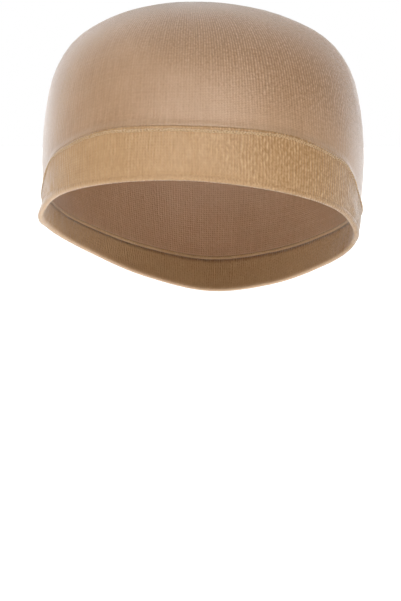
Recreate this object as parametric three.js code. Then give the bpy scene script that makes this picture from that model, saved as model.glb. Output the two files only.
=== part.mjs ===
// Wig cap: a nylon tube knit, closed on top and ending in a doubled band, in its stretched form.
// Millimetres, +Z up. The front of the cap is at -Y, and the origin is the middle of the opening
// at the height of the front rim.

import * as THREE from 'three';
import { mergeVertices } from 'three/addons/utils/BufferGeometryUtils.js';

// Hollow that the knit is stretched round
const hollowBreadth = 149.6; // side to side at the widest line
const frontReach = 104.5; // from the widest line forward
const backReach = 85; // from the widest line back
const widestLineBack = 8; // from the origin back to the widest line
const domeHeight = 79.5; // from the front rim up to the inside of the top
const rearDrop = 62; // from the front rim down to the rim at the back
const topLean = 4; // sideways lean of the top, towards -X
const leanFall = 6; // power with which the lean fades below the top
const frontSquareness = 2.35; // exponent of the level outlines, where 2 gives an ellipse
const backSquareness = 2.1;

// Knit and its edges
const crownWall = 1; // single ply
const bandPly = 0.9; // each of the band's two plies
const plyGap = 0.3; // between the two plies
const bandHeight = 22.8; // along the cloth at the front
const seamWidth = 1.4; // along the cloth
const seamThickness = 1.9; // through the cloth
const pieceGap = 0.3; // between neighbouring pieces, along the cloth
const rimSkew = 4; // the rim is this much lower at +X, and higher at -X
const bandSkew = 1.8; // the band is this much taller at +X, and lower at -X

// Rim turned outwards at -X
const flareReach = 3.2;
const flareHeight = 11;
const flareAngle = THREE.MathUtils.degToRad(-82);
const flareSpread = THREE.MathUtils.degToRad(24);

// Straight line that closes the tube on top, side to side
const closingHalf = 38;
const closingBack = 9; // behind the top
const closingRise = 1;
const closingWidth = 3;

// Facets
const aroundCount = 72;
const crownRows = 14;
const bandRows = 4;
const foldSteps = 4;
const innerFoldSteps = 2;
const seamSides = 8;
const spanSteps = 20; // length samples between two sections of the hollow
const travelTolerance = 1e-6;

// Yarn
const crownColor = '#b99a7d';
const bandColor = '#c5a37e';
const seamColor = '#cfae8a';
const yarnRoughness = 0.85;

// Level outlines of the hollow from the top down. The level is a share of the dome height above
// the front rim and of the rear drop below it. The others are shares of half the breadth, of the
// front reach and of the back reach.
const hollowSections = [
  { level: 1, side: 0, front: 0, back: 0 },
  { level: 0.98, side: 0.27, front: 0.29, back: 0.3 },
  { level: 0.91, side: 0.545, front: 0.5, back: 0.52 },
  { level: 0.78, side: 0.785, front: 0.67, back: 0.72 },
  { level: 0.6, side: 0.915, front: 0.81, back: 0.86 },
  { level: 0.36, side: 0.975, front: 0.91, back: 0.94 },
  { level: 0.07, side: 0.995, front: 0.975, back: 0.99 },
  { level: -0.27, side: 0.97, front: 1, back: 1 },
  { level: -0.59, side: 0.93, front: 1, back: 0.95 },
  { level: -0.91, side: 0.865, front: 0.975, back: 0.84 },
  { level: -1.27, side: 0.76, front: 0.94, back: 0.68 },
];

// Rim and band by degrees from the front, before the skews. The drop is a share of the rear drop,
// and the band is a share of the band height.
const rimRows = [
  { degrees: 0, drop: 0, band: 1 },
  { degrees: 15, drop: 0.015, band: 1.02 },
  { degrees: 30, drop: 0.058, band: 1.04 },
  { degrees: 45, drop: 0.13, band: 0.93 },
  { degrees: 55, drop: 0.2, band: 0.84 },
  { degrees: 66, drop: 0.3, band: 0.58 },
  { degrees: 77, drop: 0.385, band: 0.53 },
  { degrees: 90, drop: 0.46, band: 0.55 },
  { degrees: 120, drop: 0.68, band: 0.62 },
  { degrees: 150, drop: 0.9, band: 0.72 },
  { degrees: 180, drop: 1, band: 0.76 },
];

// The last row but one is repeated past the back, so that the rim is level there
const beforeBack = rimRows[rimRows.length - 2];
const curveRows = [...rimRows, { ...beforeBack, degrees: 360 - beforeBack.degrees }];
const rimCurve = new THREE.CubicInterpolant(
  curveRows.map((row) => row.degrees),
  curveRows.flatMap((row) => [row.drop, row.band]),
  2,
);
rimCurve.settings = { endingStart: THREE.ZeroSlopeEnding, endingEnd: THREE.ZeroSlopeEnding };

const bandThickness = 2 * bandPly + plyGap;

// Angles run from the front, -Y, towards +X
function wrapped(angle) {
  return Math.atan2(Math.sin(angle), Math.cos(angle));
}

function rimRowAt(angle) {
  const [drop, band] = rimCurve.evaluate(THREE.MathUtils.radToDeg(Math.abs(wrapped(angle))));
  return { drop, band };
}

function rimLevelAt(angle) {
  return -rimRowAt(angle).drop * rearDrop - rimSkew * Math.sin(angle);
}

function bandHeightAt(angle) {
  return rimRowAt(angle).band * bandHeight + bandSkew * Math.sin(angle);
}

// Point of one level outline of the hollow
function sectionPoint(section, angle) {
  const across = Math.sin(angle);
  const ahead = Math.cos(angle);
  const squareness = ahead > 0 ? frontSquareness : backSquareness;
  const reach = ahead > 0 ? section.front * frontReach : section.back * backReach;
  const spread = (Math.abs(across) ** squareness + Math.abs(ahead) ** squareness) ** (-1 / squareness);
  const height = section.level * (section.level > 0 ? domeHeight : rearDrop);
  const lean = topLean * Math.max(section.level, 0) ** leanFall;
  return new THREE.Vector3(
    section.side * (hollowBreadth / 2) * spread * across - lean,
    widestLineBack - reach * spread * ahead,
    height,
  );
}

// Line down the hollow from the top, begun one section over the top so that the top is level
const meridians = new Map();
function meridianAt(angle) {
  if (!meridians.has(angle)) {
    const overTop = sectionPoint(hollowSections[1], angle + Math.PI);
    const points = hollowSections.map((section) => sectionPoint(section, angle));
    const curve = new THREE.CatmullRomCurve3([overTop, ...points]);
    curve.arcLengthDivisions = spanSteps * hollowSections.length;
    meridians.set(angle, { curve, topLength: curve.getLengths()[spanSteps] });
  }
  return meridians.get(angle);
}

// Point of the hollow at this angle and this travel along the cloth from the top
function hollowPoint(angle, travel) {
  const { curve, topLength } = meridianAt(angle);
  return curve.getPoint(curve.getUtoTmapping(0, topLength + travel));
}

// Travel from the top to the rim, found by halving
const rimTravels = new Map();
function rimTravelAt(angle) {
  if (!rimTravels.has(angle)) {
    const { curve, topLength } = meridianAt(angle);
    const level = rimLevelAt(angle);
    let above = 0;
    let below = curve.getLength() - topLength;
    while (below - above > travelTolerance) {
      const middle = (above + below) / 2;
      if (hollowPoint(angle, middle).z > level) above = middle;
      else below = middle;
    }
    rimTravels.set(angle, below);
  }
  return rimTravels.get(angle);
}

// Point of the cloth at a distance out from the hollow
const probeTravel = 0.5;
const probeAngle = 0.01;
function clothPoint(angle, travel, out) {
  const down = hollowPoint(angle, travel + probeTravel).sub(hollowPoint(angle, travel - probeTravel));
  const round = hollowPoint(angle + probeAngle, travel).sub(hollowPoint(angle - probeAngle, travel));
  return hollowPoint(angle, travel).addScaledVector(down.cross(round).normalize(), out);
}

// Extra distance out, which grows towards the rim at -X
function flareAt(angle, along) {
  const closeness = Math.max(0, 1 - along / flareHeight);
  const turned = wrapped(angle - flareAngle) / flareSpread;
  return flareReach * closeness ** 2 * Math.exp(-(turned ** 2));
}

// Ring of points at the same place in the section of a piece. Along is measured up from the rim.
const aroundAngles = Array.from({ length: aroundCount }, (_, i) => (i / aroundCount) * 2 * Math.PI);
function edgeRing(placeAt) {
  return aroundAngles.map((angle) => {
    const { along, out } = placeAt(bandHeightAt(angle));
    return clothPoint(angle, rimTravelAt(angle) - along, out + flareAt(angle, along));
  });
}

// Closed surface through rings of points. The last ring joins the first where the piece is a loop.
function ringSurface(rings, isLoop) {
  const corners = [];
  const last = isLoop ? rings.length : rings.length - 1;
  for (let i = 0; i < last; i += 1) {
    const upper = rings[i];
    const lower = rings[(i + 1) % rings.length];
    for (let j = 0; j < aroundCount; j += 1) {
      const next = (j + 1) % aroundCount;
      corners.push(upper[j], lower[j], lower[next], upper[j], lower[next], upper[next]);
    }
  }
  return mergeVertices(new THREE.BufferGeometry().setFromPoints(corners));
}

// Band: outer ply, rounded fold at the rim, inner ply, and the narrow space between them
function bandGeometry() {
  const middle = bandThickness / 2;
  const face = (out) => Array.from({ length: bandRows + 1 }, (_, i) => (band) => ({
    along: middle + (i / bandRows) * (band - middle),
    out,
  }));
  const fold = (radius, steps) => Array.from({ length: steps - 1 }, (_, i) => () => ({
    along: middle - radius * Math.sin(((i + 1) / steps) * Math.PI),
    out: middle + radius * Math.cos(((i + 1) / steps) * Math.PI),
  }));
  const section = [
    ...face(bandThickness).reverse(),
    ...fold(middle, foldSteps),
    ...face(0),
    ...face(bandPly).reverse(),
    ...fold(plyGap / 2, innerFoldSteps),
    ...face(bandPly + plyGap),
  ];
  return ringSurface(section.map(edgeRing), true);
}

// Linking seam: a bead between the band and the crown
function linkingSeamGeometry() {
  const section = Array.from({ length: seamSides }, (_, i) => {
    const turn = ((i + 0.5) / seamSides) * 2 * Math.PI;
    return (band) => ({
      along: band + pieceGap + (seamWidth / 2) * (1 - Math.sin(turn)),
      out: (seamThickness / 2) * (1 + Math.cos(turn)),
    });
  });
  return ringSurface(section.map(edgeRing), true);
}

// Travel from the top to the crown's lower edge
function crownTravelAt(angle) {
  return rimTravelAt(angle) - bandHeightAt(angle) - seamWidth - 2 * pieceGap;
}

// Ring of the crown, from the lower edge at share 1 to the closing line at share 0. Each point
// belongs to one wale, and the rings narrow from the edge's outline to the straight line.
function crownRing(share, outAt) {
  const lineShare = closingHalf / crownTravelAt(Math.PI / 2);
  const half = Math.hypot(lineShare, Math.sqrt(1 - lineShare ** 2) * share);
  const back = (closingBack / crownTravelAt(Math.PI)) * (1 - share) ** 2;
  return aroundAngles.map((wale) => {
    const across = half * Math.sin(wale);
    const ahead = share * Math.cos(wale) - back;
    const angle = Math.atan2(across, ahead);
    return clothPoint(angle, Math.hypot(across, ahead) * crownTravelAt(angle), outAt(wale));
  });
}

// Crown: outside from the closing line to the lower edge, then inside back to the line
function crownGeometry() {
  const shares = Array.from({ length: crownRows }, (_, i) => (i + 1) / crownRows);
  const ridgeShare = closingWidth / 2 / crownTravelAt(0);
  const outside = () => crownWall;
  const inside = () => 0;
  const ridge = (wale) => crownWall + closingRise * Math.abs(Math.cos(wale));
  const rings = [
    crownRing(0, ridge),
    crownRing(ridgeShare, outside),
    ...shares.map((share) => crownRing(share, outside)),
    ...shares.reverse().map((share) => crownRing(share, inside)),
    crownRing(0, inside),
  ];
  return ringSurface(rings, false);
}

function knitMesh(name, geometry, color) {
  const material = new THREE.MeshStandardMaterial({ color, roughness: yarnRoughness, metalness: 0 });
  const mesh = new THREE.Mesh(geometry, material);
  mesh.name = name;
  geometry.computeVertexNormals();
  return mesh;
}

const wigCap = new THREE.Group();
wigCap.add(
  knitMesh('crown', crownGeometry(), crownColor),
  knitMesh('linking_seam', linkingSeamGeometry(), seamColor),
  knitMesh('band', bandGeometry(), bandColor),
);

export default wigCap;
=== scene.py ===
import math
import random

import bmesh
import bpy
import numpy as np
from mathutils import Matrix, Vector


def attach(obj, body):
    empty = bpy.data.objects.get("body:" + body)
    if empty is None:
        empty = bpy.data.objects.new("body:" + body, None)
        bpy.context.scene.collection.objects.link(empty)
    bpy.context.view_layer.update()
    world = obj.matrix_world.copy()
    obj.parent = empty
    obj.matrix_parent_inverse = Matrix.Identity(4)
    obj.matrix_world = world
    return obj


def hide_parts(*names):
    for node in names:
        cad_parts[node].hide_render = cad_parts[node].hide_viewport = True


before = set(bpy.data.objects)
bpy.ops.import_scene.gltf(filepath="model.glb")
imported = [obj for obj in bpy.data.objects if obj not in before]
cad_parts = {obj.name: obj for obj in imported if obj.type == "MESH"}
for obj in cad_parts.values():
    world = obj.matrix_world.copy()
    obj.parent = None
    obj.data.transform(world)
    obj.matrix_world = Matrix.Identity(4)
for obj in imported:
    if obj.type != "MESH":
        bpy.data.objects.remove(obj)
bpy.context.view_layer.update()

# Wig cap of nylon tube knit in its worn form: crown, linking line and doubled band. Metres.
mm = 0.001


# A hex colour as the screen shows it, in the linear values that shaders take
def linearColour(hexColour):
    channels = [int(hexColour[i:i + 2], 16) / 255 for i in (1, 3, 5)]
    lit = [c / 12.92 if c <= 0.04045 else ((c + 0.055) / 1.055) ** 2.4 for c in channels]
    return (*lit, 1.0)


# Adds a node: its settings, then a value or a link for each input
def addNode(tree, kind, settings, inputs):
    node = tree.nodes.new(kind)
    for name, value in settings.items():
        setattr(node, name, value)
    for name, value in inputs.items():
        if isinstance(value, bpy.types.NodeSocket):
            tree.links.new(value, node.inputs[name])
        else:
            node.inputs[name].default_value = value
    return node.outputs[0]


# Knitted nylon: a polyamide multifilament yarn in plain jersey loops. The loops stand in wales,
# with painted shade in the groove between them, and the fibre ends give a light bloom at the edges.
# Wales are numbered in whole numbers at their crests, and courses from the edge or the fold.
nylon = {
    "ior": 1.53, "sheerRadius": (1.0, 0.75, 0.55), "patternDetail": 1.5,
    "deepTone": 0.25, "middleTone": 0.5, "lightTone": 0.75,
}


def knitMaterial(name, look):
    material = bpy.data.materials.new(name)
    material.use_nodes = True
    tree = material.node_tree
    shader = tree.nodes["Principled BSDF"]
    place = addNode(tree, "ShaderNodeUVMap", {"uv_map": "knit"}, {})
    objectPlace = addNode(tree, "ShaderNodeTexCoord", {}, {}).node.outputs["Object"]
    split = addNode(tree, "ShaderNodeSeparateXYZ", {}, {"Vector": place}).node
    made = {"wale": split.outputs["X"], "course": split.outputs["Y"]}
    # streaks run up the wales, bars are courses pulled tighter, grain is the loops' own
    # unevenness, and patches are broad differences in tone over the piece
    for part, source in (("streak", place), ("bar", place), ("grain", place),
                         ("patch", objectPlace)):
        scaled = addNode(tree, "ShaderNodeVectorMath", {"operation": "MULTIPLY"},
                         {0: source, 1: look[part + "Scale"]})
        made[part] = addNode(tree, "ShaderNodeTexNoise", {}, {
            "Vector": scaled, "Scale": 1.0, "Detail": nylon["patternDetail"]})
    # slack knit shows its grooves and knit drawn taut over the front is nearly even; besides, the
    # grooves and grain are painted darker towards the right and the top, a painted shade of the
    # relief where the light grazes
    towardsSlackAndShade = addNode(tree, "ShaderNodeVectorMath", {"operation": "DOT_PRODUCT"},
                        {0: objectPlace, 1: look["slackShadedTowards"]}).node
    made["slackAndShadeContrast"] = addNode(tree, "ShaderNodeMapRange", {}, {
        "Value": towardsSlackAndShade.outputs["Value"],
        "From Min": look["tautLitAt"], "From Max": look["slackShadedAt"],
        "To Min": look["tautLitContrast"], "To Max": look["slackShadedContrast"]})
    # the painted highlight on the fold is strongest low on the left, where the fold is drawn open
    # the most and catches the light
    towardsLitFold = addNode(tree, "ShaderNodeVectorMath", {"operation": "DOT_PRODUCT"},
                       {0: objectPlace, 1: look["litFoldTowards"]}).node
    made["litFold"] = addNode(tree, "ShaderNodeMapRange", {}, {
        "Value": towardsLitFold.outputs["Value"],
        "From Min": look["litFoldFrom"], "From Max": look["litFoldTo"],
        "To Min": look["litFoldLeast"], "To Max": 1.0})
    unevenShare = look["streakShare"] + look["barShare"] + look["patchShare"]
    evenTone = nylon["middleTone"] - unevenShare / 2
    sums = (
        # each wale's crest, from 0 in the groove to 1
        ("turn", "MULTIPLY", "wale", 2 * math.pi),
        ("wave", "COSINE", "turn"),
        ("crest", "MULTIPLY_ADD", "wave", 0.5, 0.5),
        # the legs of the loops make a row of small Vs up each wale
        ("leg", "PINGPONG", "wale", 0.5),
        ("rise", "MULTIPLY_ADD", "leg", look["legSlope"], "course"),
        ("loopTurn", "MULTIPLY", "rise", 2 * math.pi),
        ("loopWave", "COSINE", "loopTurn"),
        ("loop", "MULTIPLY_ADD", "loopWave", 0.5, 0.5),
        # depth of the painted shade in the grooves
        ("fall", "SUBTRACT", "crest", 1.0),
        ("grooveShadeShare", "MULTIPLY", "slackAndShadeContrast", look["grooveShadeShare"]),
        ("ribShade", "MULTIPLY_ADD", "fall", "grooveShadeShare", 1.0),
        ("loopShade", "MULTIPLY_ADD", "loop", look["loopShare"], 1 - look["loopShare"] / 2),
        ("shade", "MULTIPLY", "ribShade", "loopShade"),
        # tone of the yarn
        ("streakTone", "MULTIPLY_ADD", "streak", look["streakShare"], evenTone),
        ("barTone", "MULTIPLY_ADD", "bar", look["barShare"], "streakTone"),
        ("patchTone", "MULTIPLY_ADD", "patch", look["patchShare"], "barTone"),
        ("swing", "SUBTRACT", "grain", 0.5),
        ("grainShare", "MULTIPLY", "slackAndShadeContrast", look["grainShare"]),
        ("tone", "MULTIPLY_ADD", "swing", "grainShare", "patchTone"),
        # the fold, where the loops drawn round it open and look a little lighter, with a painted
        # highlight where it catches the light
        ("fromFold", "ABSOLUTE", "course"),
        ("foldHighlightRamp", "MULTIPLY_ADD", "fromFold", -look["foldHighlightShare"] / look["foldHighlightReach"],
         look["foldHighlightShare"]),
        ("foldHighlightKept", "MAXIMUM", "foldHighlightRamp", 0.0),
        ("foldHighlight", "MULTIPLY", "foldHighlightKept", "litFold"),
        # height for the bump
        ("loopHeight", "MULTIPLY", "loop", look["loopBump"]),
        ("height", "MULTIPLY_ADD", "grain", look["grainBump"], "loopHeight"),
    )
    for part, operation, *values in sums:
        made[part] = addNode(tree, "ShaderNodeMath", {"operation": operation},
                             {slot: made.get(value, value) for slot, value in enumerate(values)})

    yarn = addNode(tree, "ShaderNodeValToRGB", {}, {"Fac": made["tone"]})
    ramp = yarn.node.color_ramp
    ramp.elements[0].position, ramp.elements[1].position = nylon["deepTone"], nylon["lightTone"]
    ramp.elements[0].color = linearColour(look["deepColour"])
    ramp.elements[1].color = linearColour(look["lightColour"])
    ramp.elements.new(nylon["middleTone"]).color = linearColour(look["yarnColour"])
    # painted shade: the grooves take the groove shade colour, the crests the yarn's own tone
    colour = addNode(tree, "ShaderNodeMix", {"data_type": "RGBA"}, {
        0: made["shade"], 6: linearColour(look["grooveShadeColour"]), 7: yarn}).node.outputs[2]
    # painted highlight: mixed towards a lighter colour along the fold
    colour = addNode(tree, "ShaderNodeMix", {"data_type": "RGBA"}, {
        0: made["foldHighlight"], 6: colour, 7: linearColour(look["foldHighlightColour"])}).node.outputs[2]
    bump = addNode(tree, "ShaderNodeBump", {}, {
        "Height": made["height"], "Distance": look["bumpDepth"]})
    tree.links.new(colour, shader.inputs["Base Color"])
    tree.links.new(bump, shader.inputs["Normal"])
    for socket, value in {
            "Roughness": look["roughness"], "IOR": nylon["ior"],
            "Specular IOR Level": look["specular"],
            "Subsurface Weight": look["sheer"], "Subsurface Scale": look["sheerDepth"],
            "Subsurface Radius": nylon["sheerRadius"], "Sheen Weight": look["sheen"],
            "Sheen Roughness": look["sheenRoughness"],
            "Sheen Tint": linearColour(look["sheenColour"]),
    }.items():
        shader.inputs[socket].default_value = value
    return material


# The edge that carries straight on past a point, which is the third of the six that meet there
def straightOn(vert, edge):
    face = edge.link_faces[0]
    for turn in range(3):
        edge = next(e for e in face.edges if e != edge and vert in e.verts)
        face = next(f for f in edge.link_faces if f != face)
    return edge


# Rings of the node's skin, from its creased edge ring along the outside until the skin closes
def skinRings(nodeName, startsHighest):
    bm = bmesh.new()
    bm.from_mesh(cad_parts[nodeName].data)
    bmesh.ops.remove_doubles(bm, verts=bm.verts, dist=0.001 * mm)
    side = 1 if startsHighest else -1
    start = max(bm.verts, key=lambda vert: side * vert.co.z)
    edge = max(start.link_edges, key=lambda e: e.calc_face_angle())
    ring, vert = [start], edge.other_vert(start)
    while vert != start:
        edge = straightOn(vert, edge)
        ring.append(vert)
        vert = edge.other_vert(vert)
    walls = [min(vert.link_edges, key=lambda e: e.calc_length()) for vert in ring]
    across = [wall.other_vert(vert) for wall, vert in zip(walls, ring)]
    reach = [sum(math.hypot(v.co.x, v.co.y) for v in verts) for verts in (ring, across)]
    if reach[1] > reach[0]:
        ring = across
    # turned to begin at the front and to go towards +X
    front = min(range(len(ring)), key=lambda i: ring[i].co.y)
    order = list(range(front, len(ring))) + list(range(front))
    if ring[order[1]].co.x < ring[order[-1]].co.x:
        order = [order[0]] + order[:0:-1]
    ring = [ring[i] for i in order]
    walls = [walls[i] for i in order]
    edges = [straightOn(vert, wall) for vert, wall in zip(ring, walls)]
    rings = [ring]
    while len(set(rings[-1])) == len(ring):
        verts = [edge.other_vert(vert) for vert, edge in zip(rings[-1], edges)]
        if verts == ring:
            break
        rings.append(verts)
        edges = [straightOn(vert, edge) for vert, edge in zip(verts, edges)]
    places = np.array([[list(vert.co) for vert in verts] for verts in rings])
    bm.free()
    return places


# Smooth line through the rows of points, with one row more before the first and after the last
def splined(points, at):
    first = np.clip(np.floor(at).astype(int), 0, len(points) - 4)
    t = (at - first)[..., None]
    line = np.arange(points.shape[1])
    a, b, c, d = (points[first + k, line] for k in range(4))
    return b + t * (c - a + t * (2 * a - 5 * b + 4 * c - d + t * (3 * (b - c) + d - a))) / 2


# The same round each ring, at places counted in columns
def splinedRound(rings, at):
    columns = rings.swapaxes(0, 1)
    looped = np.concatenate([columns[-1:], columns, columns[:2]])
    return splined(looped, at[:, None]).swapaxes(0, 1)


# Rings with one more at each end, where the surface would go on
def carriedOn(rings):
    before = 3 * rings[0] - 3 * rings[1] + rings[2]
    after = 3 * rings[-1] - 3 * rings[-2] + rings[-3]
    return np.concatenate([before[None], rings, after[None]])


def unit(vectors):
    shortest = 1e-12  # keeps a vector of no length finite
    return vectors / np.maximum(np.linalg.norm(vectors, axis=-1, keepdims=True), shortest)


# Unit normals of a surface that has one row more at each end
def outwardOf(surface):
    down = surface[2:] - surface[:-2]
    across = np.roll(surface[1:-1], -1, axis=1) - np.roll(surface[1:-1], 1, axis=1)
    return unit(np.cross(down, across))


# The four corners of each face in a grid of points whose columns close all the way round
def cornerNumbers(rowCount, columnCount, isLoop):
    rows = np.arange(rowCount if isLoop else rowCount - 1)[:, None]
    columns = np.arange(columnCount)[None]
    below, beside = (rows + 1) % rowCount, (columns + 1) % columnCount
    corners = [rows * columnCount + columns, below * columnCount + columns,
               below * columnCount + beside, rows * columnCount + beside]
    return np.stack(corners, axis=-1).reshape(-1, 4)


# Map in wales and courses. It needs a course for each row, and one more where the rows close.
def cornerPlaces(wales, courses, isLoop):
    nextWales = np.concatenate([wales[:, 1:], wales[:, :1] + crownLook["wales"]], axis=1)
    last = len(courses) if isLoop else len(courses) - 1
    above = np.arange(last)
    below = (above + 1) % len(courses)
    courseBelow = np.concatenate([courses[1:], [2 * courses[-1] - courses[-2]]])[:last]
    size = (last, wales.shape[1])
    corners = [(wales[above], courses[above]), (wales[below], courseBelow),
               (nextWales[below], courseBelow), (nextWales[above], courses[above])]
    placed = [np.stack([w, np.broadcast_to(c[:, None], size)], axis=-1) for w, c in corners]
    return np.stack(placed, axis=2).reshape(-1, 2)


# A finished mesh of the points that its faces use, with the map on each corner
def addPiece(name, points, corners, places, material):
    used, corners = np.unique(corners, return_inverse=True)
    corners = corners.reshape(-1, 4)
    mesh = bpy.data.meshes.new(name)
    mesh.from_pydata(points[used].tolist(), [], corners.tolist())
    uvMap = mesh.uv_layers.new(name="knit")
    uvMap.data.foreach_set("uv", places.ravel())
    mesh.shade_smooth()
    mesh.materials.append(material)
    piece = bpy.data.objects.new(name, mesh)
    bpy.context.scene.collection.objects.link(piece)
    return piece


# 1 at the centre, falling off to both sides of it
def bell(angle, centre, spread):
    turned = (angle - centre + np.pi) % (2 * np.pi) - np.pi
    return np.exp(-(turned / spread) ** 2)


# Slow waves with no pattern to them, mostly from -1 to 1, which join up all the way round
def wander(angle, seed, slowest, fastest):
    draw = random.Random(seed)
    waves = [(n, draw.uniform(0, 2 * math.pi), draw.uniform(0.4, 1))
             for n in range(slowest, fastest)]
    total = sum(size for _, _, size in waves)
    return 2 * sum(size * np.sin(n * angle + phase) for n, phase, size in waves) / total


# Smooth unevenness over a piece, closed all the way round
def unevenness(seed, coarseRows, coarseColumns, rowCount, columnCount):
    coarse = np.random.RandomState(seed).normal(size=(coarseRows + 2, coarseColumns, 1))
    fine = splinedRound(coarse, np.arange(columnCount) * coarseColumns / columnCount)
    return splined(fine, np.linspace(0, coarseRows - 1, rowCount)[:, None])[..., 0]


for item in bpy.context.selected_objects:
    item.select_set(False)


studio = {
    "target": (-1.7 * mm, 8 * mm, -60.5 * mm),
    "azimuth": 2, "elevation": 6, "distance": 0.78, "lens": 96.95, "sensorWidth": 36,
    "clipStart": 0.05, "clipEnd": 50,
    "floorLevel": -0.30, "floorRadius": 30.0, "floorSides": 96, "floorColour": "#f7f7f6",
    "floorRoughness": 0.9, "floorGlow": 0.36, "backdropStrength": 1.0, "roomStrength": 0.12,
    "rearStrength": 1.85, "rearFrom": 0.5, "rearTo": 0.8, "rearTowards": (-0.12, 0.95, 0.26),
    "sunAzimuth": -1, "sunElevation": 36, "sunDistance": 2,
    "sunAngle": 30, "sunPower": 2.31, "sunColour": "#fffdfb",
}
azimuth, elevation = math.radians(studio["azimuth"]), math.radians(studio["elevation"])
back = Vector((math.sin(azimuth) * math.cos(elevation),
               -math.cos(azimuth) * math.cos(elevation), math.sin(elevation)))
bpy.ops.object.camera_add(location=Vector(studio["target"]) + back * studio["distance"])
camera = bpy.context.object
camera.name = "studioCamera"
camera.rotation_mode = "QUATERNION"
camera.rotation_quaternion = (-back).to_track_quat("-Z", "Y")
camera.data.sensor_width = studio["sensorWidth"]
camera.data.lens = studio["lens"]
camera.data.clip_start, camera.data.clip_end = studio["clipStart"], studio["clipEnd"]
bpy.context.scene.camera = camera

# one wide soft light from the front, high up
sunAzimuth, sunElevation = math.radians(studio["sunAzimuth"]), math.radians(studio["sunElevation"])
sunFrom = Vector((math.sin(sunAzimuth) * math.cos(sunElevation),
                  -math.cos(sunAzimuth) * math.cos(sunElevation), math.sin(sunElevation)))
bpy.ops.object.light_add(type="SUN", location=sunFrom * studio["sunDistance"])
sun = bpy.context.object
sun.name = "keyLight"
sun.data.angle = math.radians(studio["sunAngle"])
sun.data.energy = studio["sunPower"]
sun.data.color = linearColour(studio["sunColour"])[:3]
sun.rotation_mode = "QUATERNION"
sun.rotation_quaternion = (-sunFrom).to_track_quat("-Z", "Y")

# white all round to the eye, and it lights the cap from behind more than from the front
world = bpy.data.worlds.new("studioWhite")
bpy.context.scene.world = world
world.use_nodes = True
background = world.node_tree.nodes["Background"]
background.inputs["Color"].default_value = (1, 1, 1, 1)
direction = addNode(world.node_tree, "ShaderNodeTexCoord", {}, {})
towards = addNode(world.node_tree, "ShaderNodeVectorMath", {"operation": "DOT_PRODUCT"}, {
    0: direction, 1: studio["rearTowards"]}).node
lighting = addNode(world.node_tree, "ShaderNodeMapRange", {"interpolation_type": "SMOOTHSTEP"}, {
    "Value": towards.outputs["Value"],
    "From Min": studio["rearFrom"], "From Max": studio["rearTo"],
    "To Min": studio["roomStrength"], "To Max": studio["rearStrength"]})
seen = addNode(world.node_tree, "ShaderNodeLightPath", {}, {})
strength = addNode(world.node_tree, "ShaderNodeMapRange", {}, {
    "Value": seen, "To Min": lighting, "To Max": studio["backdropStrength"]})
world.node_tree.links.new(strength, background.inputs["Strength"])

bpy.ops.mesh.primitive_circle_add(
    vertices=studio["floorSides"], radius=studio["floorRadius"], fill_type="NGON",
    location=(0, 0, studio["floorLevel"]))
floor = bpy.context.object
floor.name = "paleFloor"
# opal acrylic sheet lit from below: even, matt and nearly white
opalSheet = bpy.data.materials.new("opalAcrylicSheet")
opalSheet.use_nodes = True
opalShader = opalSheet.node_tree.nodes["Principled BSDF"]
opalShader.inputs["Base Color"].default_value = linearColour(studio["floorColour"])
opalShader.inputs["Roughness"].default_value = studio["floorRoughness"]
opalShader.inputs["Emission Color"].default_value = (1, 1, 1, 1)
opalShader.inputs["Emission Strength"].default_value = studio["floorGlow"]
floor.data.materials.append(opalSheet)
bpy.context.scene.view_settings.view_transform = "Standard"
print("studio ready")


crownLook = {
    "wales": 372,  # 1.45 mm apart at the front, as the photograph's crown shows them
    "columnsPerWale": 4,
    "ply": 0.5 * mm, "ribHeight": 0.09 * mm, "ribPitch": 1.2 * mm, "tautRibs": 0.45,
    "courseHeight": 0.9 * mm,
    "bodyRows": 22, "edgeRows": 8, "bodyPower": 1.3,
    "edgeFromRing": 13.4, "ofRings": 14,  # finer rows begin here on the way down to the edge
    "ridgeRise": 0.7 * mm, "ridgeReach": 1.2 * mm,
    "secondLineAt": 1.5 * mm, "secondLineWidth": 0.45 * mm, "secondLineRise": 0.14 * mm,
    "secondLineShown": 1.4, "secondLineWaves": (12, 2, 23),  # seed, slowest and fastest wave
    "pucker": 0.22 * mm, "puckers": 46, "puckerReach": 7 * mm,
    "puckerUnevenness": 0.4, "puckerWaves": (11, 3, 17),
    "edgeLift": 0.8 * mm, "edgeLiftReach": 2.2 * mm, "tuckedRow": 0.22,
    "wobble": 0.18, "wobbleSeed": 31, "wobbleRows": 9, "wobbleColumns": 124, "wobbleFrom": 2,
    "flatSize": (0.40, 0.115),
}
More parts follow.
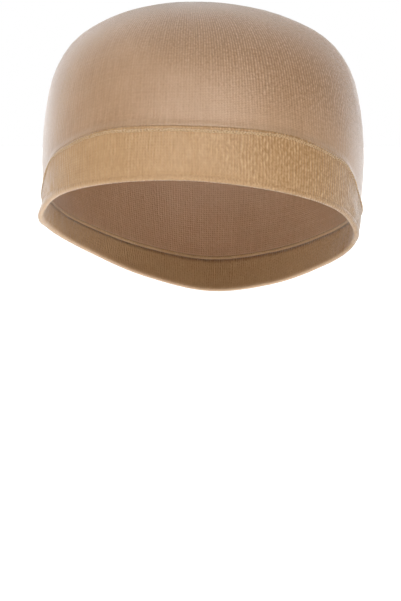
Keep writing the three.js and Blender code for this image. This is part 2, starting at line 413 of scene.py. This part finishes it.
# single-ply jersey drawn thin over a form: sheer, soft in shade and even where it is taut, with
# painted shade darkening its grooves towards the right and the top
crownYarn = {
    "yarnColour": "#b08e6d", "lightColour": "#c3a285", "deepColour": "#96734f",
    "grooveShadeColour": "#84603c", "grooveShadeShare": 0.3, "loopShare": 0.1, "legSlope": 0.9,
    "streakScale": (1.1, 0.06, 0), "streakShare": 0.24,
    "barScale": (0.01, 0.9, 0), "barShare": 0.12,
    "grainScale": (1.15, 0.65, 0), "grainShare": 0.55,
    "patchScale": (40, 40, 40), "patchShare": 0.2,
    # grooves and grain painted darker towards the right and the top: painted shade of the relief
    # where the light grazes, besides the slacker knit there
    "slackShadedTowards": (0.5, 0, 1), "tautLitAt": 39 * mm, "slackShadedAt": 67 * mm,
    "tautLitContrast": 0.42, "slackShadedContrast": 2.7,
    # a painted highlight along the closing line at the top, where the knit turns
    "foldHighlightColour": "#c9ab8c", "foldHighlightReach": 1.2, "foldHighlightShare": 0.35,
    "litFoldTowards": (0, 0, 1), "litFoldFrom": 0.0, "litFoldTo": 20 * mm, "litFoldLeast": 1.0,
    "grainBump": 1.0, "loopBump": 0.3, "bumpDepth": 0.14 * mm,
    "sheer": 0.3, "sheerDepth": 1.2 * mm, "roughness": 0.55, "specular": 0.85,
    "sheen": 0.85, "sheenRoughness": 0.33, "sheenColour": "#f4f6fa",
}
sheerJersey = knitMaterial("sheerNylonJersey", crownYarn)

crownWalk = skinRings("crown", startsHighest=False)[::-1]
columnCount = crownWalk.shape[1]
half = columnCount // 2
mirrored = (half - np.arange(columnCount)) % columnCount
# the middle of the closing line, without its ridge, then the rings below it
crownRings = np.concatenate([[(crownWalk[1] + crownWalk[1][mirrored]) / 2], crownWalk[2:]])
crownLast = len(crownRings) - 1
crownPadded = carriedOn(crownRings)
crownPadded[0] = crownRings[1][mirrored]

fineCount = crownLook["wales"] * crownLook["columnsPerWale"]
fineColumns = np.arange(fineCount) * columnCount / fineCount
fineAngles = fineColumns * 2 * np.pi / columnCount
waleNumbers = np.arange(fineCount) / crownLook["columnsPerWale"]
fineMirrored = (fineCount // 2 - np.arange(fineCount)) % fineCount
crownFine = splinedRound(crownPadded, fineColumns)
edgeFrom = crownLook["edgeFromRing"] / crownLook["ofRings"] * crownLast
bodyShare = np.arange(crownLook["bodyRows"]) / crownLook["bodyRows"]
bodyAt = edgeFrom * bodyShare ** crownLook["bodyPower"]
edgeAt = np.linspace(edgeFrom, crownLast + crownLook["tuckedRow"], crownLook["edgeRows"] + 1)
rowsAt = np.concatenate([bodyAt, edgeAt])
crownSmooth = splined(crownFine, rowsAt[:, None])
crownWide = np.concatenate([
    crownSmooth[1][fineMirrored][None], crownSmooth,
    (2 * crownSmooth[-1] - crownSmooth[-2])[None],
])
crownOut = outwardOf(crownWide)
crownOut[0] = unit(crownOut[1] + crownOut[1][fineMirrored])

# ribs are as high as their wales are wide, and lower where the wales crowd to the closing line
columnStep = np.linalg.norm(np.roll(crownSmooth, -1, 1) - crownSmooth, axis=-1)
pitch = columnStep * crownLook["columnsPerWale"]
wobble = crownLook["wobble"] * unevenness(
    crownLook["wobbleSeed"], crownLook["wobbleRows"], crownLook["wobbleColumns"],
    len(rowsAt), fineCount)
wobble *= np.clip(rowsAt / crownLook["wobbleFrom"], 0, 1)[:, None]
wales = waleNumbers + wobble
ribs = crownLook["ribHeight"] * np.minimum(1, pitch / crownLook["ribPitch"])
ribs = ribs * np.cos(2 * np.pi * wales)
# and flatter where the knit is drawn taut
towardsSlackAndShade = crownSmooth @ np.array(crownYarn["slackShadedTowards"])
slackShare = (towardsSlackAndShade - crownYarn["tautLitAt"]) / (crownYarn["slackShadedAt"] - crownYarn["tautLitAt"])
ribs *= crownLook["tautRibs"] + (1 - crownLook["tautRibs"]) * np.clip(slackShare, 0, 1)
steps = np.linalg.norm(np.diff(crownSmooth, axis=0), axis=-1)
fromLine = np.concatenate([np.zeros((1, fineCount)), np.cumsum(steps, axis=0)])
fromEdge = fromLine[-1] - fromLine
near = fromLine / crownLook["puckerReach"]
puckers = crownLook["pucker"] * near * np.exp(1 - near) * np.cos(crownLook["puckers"] * fineAngles)
puckers *= (1 - crownLook["puckerUnevenness"]
            + crownLook["puckerUnevenness"] * wander(fineAngles, *crownLook["puckerWaves"]))
ridge = crownLook["ridgeRise"] * np.exp(-(fromLine / crownLook["ridgeReach"]) ** 2)
ridge *= np.abs(np.cos(fineAngles))
# a faint second line of stitches above the linking line, here and there
secondFrom = (fromEdge - crownLook["secondLineAt"]) / crownLook["secondLineWidth"]
second = crownLook["secondLineRise"] * np.exp(-secondFrom ** 2)
second *= np.clip(
    wander(fineAngles, *crownLook["secondLineWaves"]) * crownLook["secondLineShown"], 0, 1)
# the edge stands a little proud over the band
lifted = crownLook["edgeLift"] * np.exp(-(fromEdge / crownLook["edgeLiftReach"]) ** 2)
crownPoints = crownSmooth + (ribs + puckers + ridge + second + lifted)[..., None] * crownOut
crownPoints[0] = (crownPoints[0] + crownPoints[0][fineMirrored]) / 2

corners = cornerNumbers(len(rowsAt), fineCount, isLoop=False)
onLine = corners < fineCount
corners[onLine] = np.minimum(corners[onLine], fineMirrored[corners[onLine]])
courses = fromLine.mean(axis=1) / crownLook["courseHeight"]
crownKnit = addPiece("crown_knit", crownPoints.reshape(-1, 3), corners,
                     cornerPlaces(wales, courses, isLoop=False), sheerJersey)
inside = crownKnit.modifiers.new("ply", "SOLIDIFY")
inside.thickness, inside.offset, inside.use_even_offset = crownLook["ply"], -1, False
bpy.context.view_layer.objects.active = crownKnit
bpy.ops.object.modifier_apply(modifier="ply")
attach(crownKnit, "root")
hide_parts("crown")
print("crown:", len(crownKnit.data.polygons), "faces")


bandLook = {
    "faceRows": 10, "insideRows": 8, "foldRows": 8, "gapRows": (0, 2, 4, 5, 6, 8, 10),
    "topRows": (0, 0.5, 1, 1.5, 2, 2.5, 3.1),  # mm down from the top
    "rollRows": (1.9, 1.55, 1.25, 1.0, 0.75, 0.5, 0.25, 0),  # shares of the roll, up from the fold
    "ribHeight": 0.1 * mm, "courseHeight": 0.8 * mm,
    "stitchedAt": 0.9 * mm, "stitchedLower": 1.1 * mm, "stitchedSpread": math.radians(45),
    "stitchedWander": 0.3 * mm, "stitchedWaves": (13, 3, 15),
    "swell": 0.1 * mm, "swellReach": 0.9 * mm,
    "wobble": 0.2, "wobbleSeed": 32, "wobbleRows": 12, "wobbleColumns": 186,
    "ribUnevenness": 0.3, "ribSeed": 33,
    "roll": 0.9 * mm, "rollOut": 0.16 * mm, "groove": 0.14 * mm, "grooveWidth": 0.9, "slant": 1.6,
    "leftRoll": 2.2 * mm, "leftRollOut": 0.3 * mm,
    "leftAt": math.radians(-76), "leftSpread": math.radians(20),
    "rightRoll": 0.9 * mm, "rightAt": math.radians(80), "rightSpread": math.radians(16),
    "flatSize": (0.40, 0.042),
}
# the same yarn knitted double and folded: denser, yellower and ribbed, with a painted highlight
# along the fold
bandYarn = {
    "yarnColour": "#b38d61", "lightColour": "#c6a277", "deepColour": "#9f7848",
    "grooveShadeColour": "#936a36", "grooveShadeShare": 0.28, "loopShare": 0.12, "legSlope": 0.9,
    "streakScale": (1.1, 0.2, 0), "streakShare": 0.35,
    "barScale": (0.01, 0.5, 0), "barShare": 0.1,
    "grainScale": (1.15, 0.7, 0), "grainShare": 0.65,
    "patchScale": (50, 50, 50), "patchShare": 0.2,
    # grooves and grain painted darker towards the right and the top: painted shade of the relief
    # where the light grazes, besides the slacker knit there
    "slackShadedTowards": (0.7, 0, 0.6), "tautLitAt": 6 * mm, "slackShadedAt": 38 * mm,
    "tautLitContrast": 0.4, "slackShadedContrast": 2.8,
    # a painted highlight along the lower fold, strongest low on the left
    "foldHighlightColour": "#e2c09c", "foldHighlightReach": 3.6, "foldHighlightShare": 0.85,
    "litFoldTowards": (-0.35, 0, -1), "litFoldFrom": 12 * mm, "litFoldTo": 34 * mm,
    "litFoldLeast": 0.15,
    "grainBump": 1.2, "loopBump": 0.3, "bumpDepth": 0.16 * mm,
    "sheer": 0.2, "sheerDepth": 0.8 * mm, "roughness": 0.6, "specular": 0.8,
    "sheen": 0.8, "sheenRoughness": 0.35, "sheenColour": "#f4f6fa",
}
doubledKnit = knitMaterial("doubledNylonRib", bandYarn)

# down the outer face, round the fold, up the inner face, and back through the gap between the plies
bandWalk = skinRings("band", startsHighest=True)
faceRings, foldRings = 5, 3
innerStart = faceRings + foldRings
gapStart = innerStart + faceRings
lowest = faceRings + foldRings // 2
outerFace = splinedRound(carriedOn(bandWalk[:faceRings]), fineColumns)
innerFace = splinedRound(carriedOn(bandWalk[innerStart:gapStart][::-1]), fineColumns)
foldLowest = splinedRound(bandWalk[lowest:lowest + 1], fineColumns)[0]
gapWalk = splinedRound(bandWalk[gapStart:], fineColumns)

faceLength = np.linalg.norm(np.diff(outerFace[1:-1], axis=0), axis=-1).sum(axis=0)
leftward = bell(fineAngles, bandLook["leftAt"], bandLook["leftSpread"])
rightward = bell(fineAngles, bandLook["rightAt"], bandLook["rightSpread"])
rollHeight = (bandLook["roll"] + bandLook["leftRoll"] * leftward
              + bandLook["rightRoll"] * rightward)
# the row of stitches lies below the crown's edge, most of all at the front
frontward = bell(fineAngles, 0, bandLook["stitchedSpread"])
stitchedAt = (bandLook["stitchedAt"] + bandLook["stitchedLower"] * frontward
              + bandLook["stitchedWander"] * wander(fineAngles, *bandLook["stitchedWaves"]))
fromTop = [np.full(fineCount, d * mm) for d in bandLook["topRows"]]
fromFold = [share * rollHeight for share in bandLook["rollRows"]]
middleFrom, middleTo = fromTop[-1], faceLength - fromFold[0]
middle = [middleFrom + (middleTo - middleFrom) * k / bandLook["faceRows"]
          for k in range(1, bandLook["faceRows"])]
downFace = np.array([*fromTop, *middle, *[faceLength - d for d in fromFold]])
outerRows = splined(outerFace, downFace / faceLength * (faceRings - 1))
upInside = np.linspace(1, 0, bandLook["insideRows"])[:, None]
innerRows = splined(innerFace, upInside * (faceRings - 1))
foldTurns = np.arange(1, bandLook["foldRows"])[:, None, None] * np.pi / bandLook["foldRows"]
foldMiddle = (outerRows[-1] + innerRows[0]) / 2
foldRows = (foldMiddle + (outerRows[-1] - foldMiddle) * np.cos(foldTurns)
            + (foldLowest - foldMiddle) * np.sin(foldTurns))
bandRows = np.concatenate([outerRows, foldRows, innerRows])
bandWide = np.concatenate([(2 * bandRows[0] - bandRows[1])[None], bandRows,
                           (2 * bandRows[-1] - bandRows[-2])[None]])
bandOut = outwardOf(bandWide)

# a little swollen under the row of stitches, and rolled with a groove above the roll
rollOut = bandLook["rollOut"] + bandLook["leftRollOut"] * leftward
aboveFold = (faceLength - downFace) / rollHeight
raised = np.where(aboveFold < 1, rollOut * np.cos(aboveFold * np.pi / 2),
                  -bandLook["groove"] * np.sin(
                      np.clip((aboveFold - 1) / bandLook["grooveWidth"], 0, 1) * np.pi))
raised += bandLook["swell"] * np.exp(-((downFace - stitchedAt) / bandLook["swellReach"]) ** 2)
foldRaised = rollOut * (1 + np.cos(foldTurns[..., 0])) / 2
bandRaised = np.concatenate([raised, foldRaised, np.zeros(innerRows.shape[:2])])

# the ribs wander, and lie aslant round the left of the roll
fineSize = (len(bandRows), fineCount)
bandWales = waleNumbers + bandLook["wobble"] * unevenness(
    bandLook["wobbleSeed"], bandLook["wobbleRows"], bandLook["wobbleColumns"], *fineSize)
bandWales[:len(aboveFold)] += bandLook["slant"] * np.clip(aboveFold, 0, 1) * leftward
ribSize = 1 + bandLook["ribUnevenness"] * unevenness(
    bandLook["ribSeed"], bandLook["wobbleRows"], bandLook["wobbleColumns"], *fineSize)
bandRaised += bandLook["ribHeight"] * ribSize * np.cos(2 * np.pi * bandWales)
gapRows = gapWalk[list(bandLook["gapRows"])]
bandPoints = np.concatenate([bandRows + bandRaised[..., None] * bandOut, gapRows])
allWales = np.concatenate([bandWales, np.broadcast_to(waleNumbers, gapRows.shape[:2])])
bandSteps = np.linalg.norm(np.diff(bandPoints, axis=0), axis=-1).mean(axis=1)
bandCourses = np.concatenate([[0], np.cumsum(bandSteps)]) / bandLook["courseHeight"]
bandCourses -= bandCourses[len(outerRows) + bandLook["foldRows"] // 2 - 1]
bandKnit = addPiece("band_knit", bandPoints.reshape(-1, 3),
                    cornerNumbers(len(bandPoints), fineCount, isLoop=True),
                    cornerPlaces(allWales, bandCourses, isLoop=True), doubledKnit)
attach(bandKnit, "root")
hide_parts("band")
print("band:", len(bandKnit.data.polygons), "faces")


linkLook = {
    "length": 1.8 * mm, "width": 1.0 * mm, "yarn": 0.15 * mm, "loopSides": 12, "yarnSides": 5,
    "narrowFrom": 0.25, "narrow": 0.55, "endRise": 0.16 * mm,
    "tilt": 6, "tiltSpread": 6, "lean": 12, "unevenPlace": 0.09 * mm, "unevenSize": 0.14,
    "loopsOut": 0.07 * mm, "stitchRow": 3,  # the band's row that the loops face with
    "sunk": 0.8 * mm, "baseHeight": 1.3 * mm, "baseDepth": 0.55 * mm, "baseSides": 8,
    "baseColumnStep": 2, "seed": 21,
}
# the linking machine's loops, of the same yarn as the band but painted lighter: a painted highlight
# for loops that stand free of the knit and catch more light
linkYarnPaintedLighter = dict(bandYarn, yarnColour="#cbaa80", lightColour="#d8ba90", deepColour="#b99567",
                grooveShadeColour="#ad8858", grooveShadeShare=0.2, slackShadedContrast=1.0, foldHighlightShare=0.0)
linkingYarnPaintedLighter = knitMaterial("linkedNylonYarnPaintedLighter", linkYarnPaintedLighter)

# one loop of the chain, a teardrop of yarn lying along +X and facing +Z
bpy.ops.mesh.primitive_torus_add(
    major_segments=linkLook["loopSides"], minor_segments=linkLook["yarnSides"],
    major_radius=0.5, minor_radius=linkLook["yarn"] / linkLook["width"])
loopModel = bpy.context.object
loopModel.name = "loopModel"
bpy.ops.object.mode_set(mode="EDIT")
bpy.ops.mesh.select_all(action="SELECT")
bpy.ops.transform.resize(value=(linkLook["length"], linkLook["width"], linkLook["width"]))
bpy.ops.mesh.select_all(action="DESELECT")
bpy.ops.object.mode_set(mode="OBJECT")
for vert in loopModel.data.vertices:
    vert.select = vert.co.x > linkLook["narrowFrom"] * linkLook["length"]
bpy.ops.object.mode_set(mode="EDIT")
bpy.ops.mesh.select_mode(type="VERT")
bpy.ops.transform.resize(value=(1, linkLook["narrow"], 1))
bpy.ops.transform.translate(value=(0, 0, linkLook["endRise"]))
bpy.ops.object.mode_set(mode="OBJECT")
loopPoints = np.array([list(vert.co) for vert in loopModel.data.vertices])
loopCorners = np.array([list(face.vertices) for face in loopModel.data.polygons])
loopPlaces = (loopPoints[loopCorners.ravel()] / linkLook["length"])[:, 1::-1]
bpy.data.objects.remove(loopModel)


# Copies of the loop along a line, each turned and placed a little unevenly
def loopsAlong(centres, forwards, outwards, seed):
    draw = random.Random(seed)
    points, faces, places = [], [], []
    for number, (centre, forward, outward) in enumerate(zip(centres, forwards, outwards)):
        side = np.cross(outward, forward)
        axes = Matrix((forward, side, outward)).transposed().to_4x4()
        tilt = linkLook["tilt"] + draw.uniform(-linkLook["tiltSpread"], linkLook["tiltSpread"])
        lean = linkLook["lean"] * draw.uniform(-1, 1)
        turn = (Matrix.Rotation(math.radians(tilt), 4, "Y")
                @ Matrix.Rotation(math.radians(lean), 4, "Z"))
        size = 1 + draw.uniform(-1, 1) * linkLook["unevenSize"]
        shift = side * draw.gauss(0, 1) * linkLook["unevenPlace"]
        placed = (np.array((axes @ turn).to_3x3()) @ (loopPoints * size).T).T + centre + shift
        points.append(placed)
        faces.append(loopCorners + number * len(loopPoints))
        places.append(loopPlaces + (number, 0))
    return np.concatenate(points), np.concatenate(faces), np.concatenate(places)


linkCount = crownLook["wales"]
crownEdge, bandTop = splined(crownFine, np.array([[crownLast]]))[0], outerRows[0]
edgeNormal = crownOut[-1]
seamLine = (crownEdge + bandTop) / 2 - edgeNormal * linkLook["sunk"]
atLinks = np.arange(linkCount) * crownLook["columnsPerWale"]
seamAlong = unit(np.roll(seamLine, -2, 0) - np.roll(seamLine, 2, 0))
seamUp = np.cross(edgeNormal, seamAlong)
stitchLine = splined(outerFace, (stitchedAt / faceLength * (faceRings - 1))[None])[0]
stitchNormal = bandOut[linkLook["stitchRow"]]
stitchAlong = unit(np.roll(stitchLine, -2, 0) - np.roll(stitchLine, 2, 0))
linkPoints, linkCorners, linkPlaces = loopsAlong(
    (stitchLine + stitchNormal * (bandLook["swell"] + linkLook["loopsOut"]))[atLinks],
    stitchAlong[atLinks], stitchNormal[atLinks], linkLook["seed"])
# the rolled cut edges that the loops hold
baseTurns = np.arange(linkLook["baseSides"]) * -2 * np.pi / linkLook["baseSides"]
baseColumns = np.arange(0, fineCount, linkLook["baseColumnStep"])
basePoints = np.array([
    (seamLine + edgeNormal * linkLook["baseDepth"] * math.cos(turn)
     + seamUp * linkLook["baseHeight"] * math.sin(turn))[baseColumns] for turn in baseTurns])
baseCorners = cornerNumbers(len(baseTurns), len(baseColumns), isLoop=True)
baseWales = np.tile(waleNumbers[baseColumns], (len(baseTurns), 1))
basePlaces = cornerPlaces(baseWales, np.arange(len(baseTurns)) / 2, isLoop=True)
linking = addPiece("linking_stitches",
                   np.concatenate([basePoints.reshape(-1, 3), linkPoints]),
                   np.concatenate([baseCorners, linkCorners + basePoints.size // 3]),
                   np.concatenate([basePlaces, linkPlaces]), linkingYarnPaintedLighter)
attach(linking, "root")
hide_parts("linking_seam")
print("linking line:", len(linking.data.polygons), "faces")


closingLook = {
    "spacing": 1.2 * mm, "sunk": 0.1 * mm, "chainOut": 0.12 * mm, "chainSeed": 22, "barSeed": 23,
}
# the line runs over the front half, and the back half lies on it
frontHalf = np.arange(-fineCount // 4, fineCount // 4 + 1) % fineCount
lineTop, lineOut = crownPoints[0][frontHalf], crownOut[0][frontHalf]
lineTravel = np.concatenate([[0], np.cumsum(np.linalg.norm(np.diff(lineTop, axis=0), axis=1))])
stitchAt = np.arange(closingLook["spacing"], lineTravel[-1], closingLook["spacing"])
lineCentres, lineNormals = (
    np.stack([np.interp(stitchAt, lineTravel, values[:, axis]) for axis in range(3)], axis=1)
    for values in (lineTop - lineOut * closingLook["sunk"], lineOut))
lineNormals = unit(lineNormals)
lineAlong = unit(np.gradient(lineCentres, axis=0))
lineAcross = np.cross(lineNormals, lineAlong)
chainPoints, chainCorners, chainPlaces = loopsAlong(
    lineCentres + lineNormals * closingLook["chainOut"], lineAlong, lineNormals,
    closingLook["chainSeed"])
barPoints, barCorners, barPlaces = loopsAlong(
    lineCentres, lineAcross, lineNormals, closingLook["barSeed"])
closing = addPiece("closing_stitches", np.concatenate([chainPoints, barPoints]),
                   np.concatenate([chainCorners, barCorners + len(chainPoints)]),
                   np.concatenate([chainPlaces, barPlaces]), linkingYarnPaintedLighter)
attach(closing, "root")
print("closing line:", len(closing.data.polygons), "faces")
